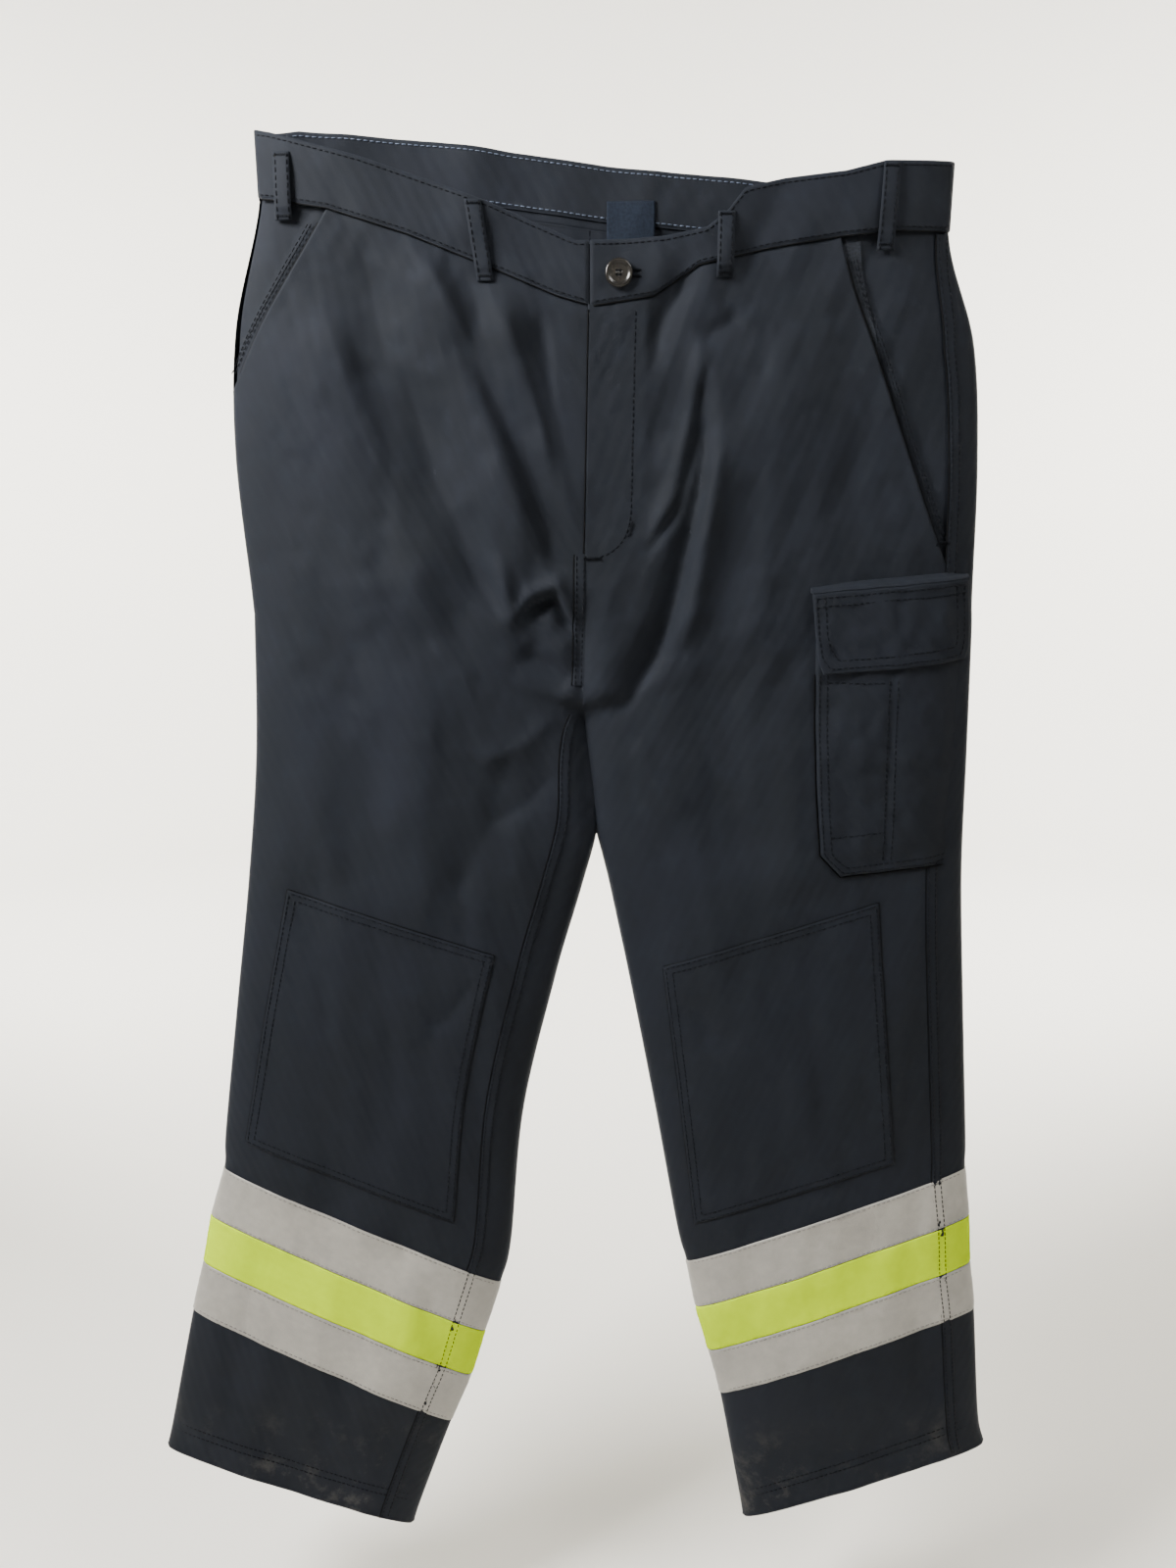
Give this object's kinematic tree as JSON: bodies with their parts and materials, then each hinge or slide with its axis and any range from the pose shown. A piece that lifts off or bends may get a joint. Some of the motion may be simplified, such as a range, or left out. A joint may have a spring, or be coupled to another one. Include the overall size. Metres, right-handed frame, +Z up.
{
  "type": "firefighter trousers",
  "caption": "Dark navy firefighter's trousers with knee patches, a thigh cargo pocket and reflective and fluorescent bands round both shins.",
  "frame": {"origin": "midway between the two places where hanger clips grip the top of the waistband", "axes": "+X to the wearer's left, +Y to the wearer's back, +Z up along the trousers"},
  "size_m": [0.7808, 0.075, 1.2284],
  "materials": {
    "navy_twill": "matt diagonal twill, navy almost black",
    "reflective_silver": "grey retroreflective tape",
    "fluorescent_yellow": "fluorescent yellow-green woven tape",
    "pocket_lining": "dark plain-woven pocketing",
    "button_resin": "polished dark resin",
    "zip_metal": "darkened metal",
    "zip_coil": "moulded teeth",
    "zip_tape": "woven tape",
    "hook_and_loop": "hook-and-loop tape",
    "sewing_thread": "wound thread",
    "label_tape": "blank woven tape"
  },
  "bodies": {
    "trousers": {"front_upper_right": "navy_twill", "back_upper_right": "navy_twill", "knee_patch_upper_right": "navy_twill", "pocket_facing_right": "navy_twill", "pocket_bag_right": "pocket_lining", "back_welt_right": "navy_twill", "zip_tape_right": "zip_tape", "zip_coil_right": "zip_coil", "front_upper_left": "navy_twill", "back_upper_left": "navy_twill", "knee_patch_upper_left": "navy_twill", "pocket_facing_left": "navy_twill", "pocket_bag_left": "pocket_lining", "back_welt_left": "navy_twill", "zip_tape_left": "zip_tape", "zip_coil_left": "zip_coil", "waistband_front_left": "navy_twill", "waistband_front_right": "navy_twill", "waistband_back": "navy_twill", "waistband_facing_back": "navy_twill", "size_label": "label_tape", "belt_loop_front_1": "navy_twill", "belt_loop_front_2": "navy_twill", "belt_loop_front_3": "navy_twill", "belt_loop_front_4": "navy_twill", "belt_loop_back_1": "navy_twill", "belt_loop_back_2": "navy_twill", "belt_loop_back_3": "navy_twill", "fly_facing": "navy_twill", "fly_underlap": "navy_twill", "zip_stop": "zip_metal", "button_shank": "sewing_thread", "cargo_pocket": "navy_twill", "cargo_flap_head": "navy_twill", "loop_strip": "hook_and_loop"},
    "right_shin": {"front_lower_right": "navy_twill", "back_lower_right": "navy_twill", "knee_patch_lower_right": "navy_twill", "reflective_band_top_right": "reflective_silver", "fluorescent_band_right": "fluorescent_yellow", "reflective_band_bottom_right": "reflective_silver", "hem_right": "navy_twill"},
    "left_shin": {"front_lower_left": "navy_twill", "back_lower_left": "navy_twill", "knee_patch_lower_left": "navy_twill", "reflective_band_top_left": "reflective_silver", "fluorescent_band_left": "fluorescent_yellow", "reflective_band_bottom_left": "reflective_silver", "hem_left": "navy_twill"},
    "cargo_flap": {"cargo_flap": "navy_twill", "hook_strip": "hook_and_loop"},
    "zip_slider": {"zip_slider": "zip_metal", "zip_pull": "zip_metal"},
    "waist_button": {"waist_button": "button_resin"}
  },
  "joints": [
    {"name": "right_knee", "type": "hinge", "parent": "trousers", "child": "right_shin", "pos_m": [-0.1855, 0.0298, -0.699], "axis": [0.9274, 0, -0.374], "range_deg": [0, 90]},
    {"name": "left_knee", "type": "hinge", "parent": "trousers", "child": "left_shin", "pos_m": [0.185, 0.0298, -0.698], "axis": [0.9435, 0, 0.3313], "range_deg": [0, 90]},
    {"name": "cargo_flap_hinge", "type": "hinge", "parent": "trousers", "child": "cargo_flap", "pos_m": [0.167, -0.0388, -0.298], "axis": [-0.9962, 0, -0.0877], "range_deg": [0, 150]},
    {"name": "zip_slide", "type": "slide", "parent": "trousers", "child": "zip_slider", "axis": [0, 0, -1], "range_m": [0, 0.15]},
    {"name": "button_turn", "type": "hinge", "parent": "trousers", "child": "waist_button", "pos_m": [0.016, -0.03, -0.0709], "axis": [0, -1, 0], "range_deg": [-45, 45]}
  ]
}
